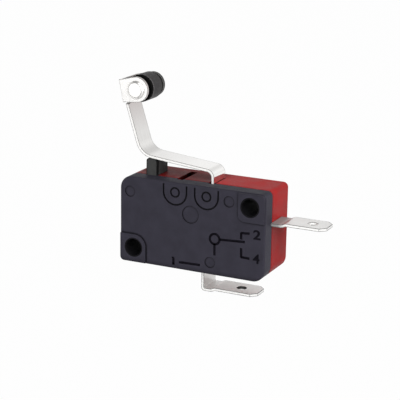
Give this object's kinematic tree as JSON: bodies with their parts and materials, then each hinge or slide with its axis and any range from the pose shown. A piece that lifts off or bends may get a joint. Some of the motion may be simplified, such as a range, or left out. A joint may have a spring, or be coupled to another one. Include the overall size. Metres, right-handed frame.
{
  "type": "lever micro switch",
  "caption": "Snap-action micro switch with a bent lever that carries a roller, a push plunger, screw holes through a moulded housing, and push-on tab terminals.",
  "frame": {"origin": "axis of the lower mounting hole, on the housing's flat back face", "axes": "+X towards the end that the side terminal leaves, +Z towards the lever and plunger, +Y out of the back face, so the printed cover faces -Y"},
  "size_m": [0.0387, 0.0103, 0.0373],
  "materials": {
    "case_plastic": "moulded red thermoset, satin",
    "cover_plastic": "moulded dark grey thermoset, matt",
    "lever_steel": "bright rolled strip",
    "roller_plastic": "moulded black nylon",
    "pin_steel": "bright turned rivet",
    "plunger_plastic": "moulded black thermoset",
    "drive_arm_plastic": "moulded natural nylon",
    "terminal_plate": "brass strip, bright tin plate",
    "contact_silver": "silver alloy rivet",
    "arm_copper": "copper alloy spring strip",
    "spring_steel": "drawn spring wire"
  },
  "bodies": {
    "housing": {"case": "case_plastic", "cover": "cover_plastic", "common_terminal": "terminal_plate", "nc_terminal": "terminal_plate", "nc_contact": "contact_silver"},
    "lever": {"lever": "lever_steel", "roller_pin": "pin_steel"},
    "roller": {"roller": "roller_plastic"},
    "plunger": {"plunger": "plunger_plastic"},
    "drive_arm": {"drive_arm": "drive_arm_plastic"},
    "contact_arm": {"contact_arm": "arm_copper", "moving_contact": "contact_silver", "snap_spring": "spring_steel"}
  },
  "joints": [
    {"name": "lever_hinge", "type": "hinge", "parent": "housing", "child": "lever", "pos_m": [0.01395, -0.0053, 0.01105], "axis": [0, -1, 0], "range_deg": [0, 10], "stiffness_Nm_per_rad": 0.05, "springref_deg": -6.88},
    {"name": "roller_spin", "type": "hinge", "parent": "lever", "child": "roller", "pos_m": [-0.00043, -0.0053, 0.02798], "axis": [0, 1, 0], "continuous": true},
    {"name": "plunger_slide", "type": "slide", "parent": "housing", "child": "plunger", "axis": [0, 0, -1], "range_m": [0, 0.00218]},
    {"name": "drive_arm_hinge", "type": "hinge", "parent": "housing", "child": "drive_arm", "pos_m": [0.0106, -0.00515, 0.0084], "axis": [0, -1, 0], "range_deg": [0, 14.5]},
    {"name": "contact_arm_hinge", "type": "hinge", "parent": "housing", "child": "contact_arm", "pos_m": [0.0087, -0.00515, 0.0055], "axis": [0, 1, 0], "range_deg": [0, 5.5], "deforming": ["snap_spring"]}
  ],
  "couplings": [
    {"joint": "plunger_slide", "follows": "lever_hinge", "m_per_rad": 0.01228},
    {"joint": "drive_arm_hinge", "follows": "lever_hinge", "ratio": 1.43},
    {"joint": "contact_arm_hinge", "follows": "lever_hinge", "ratio": 0.54}
  ]
}
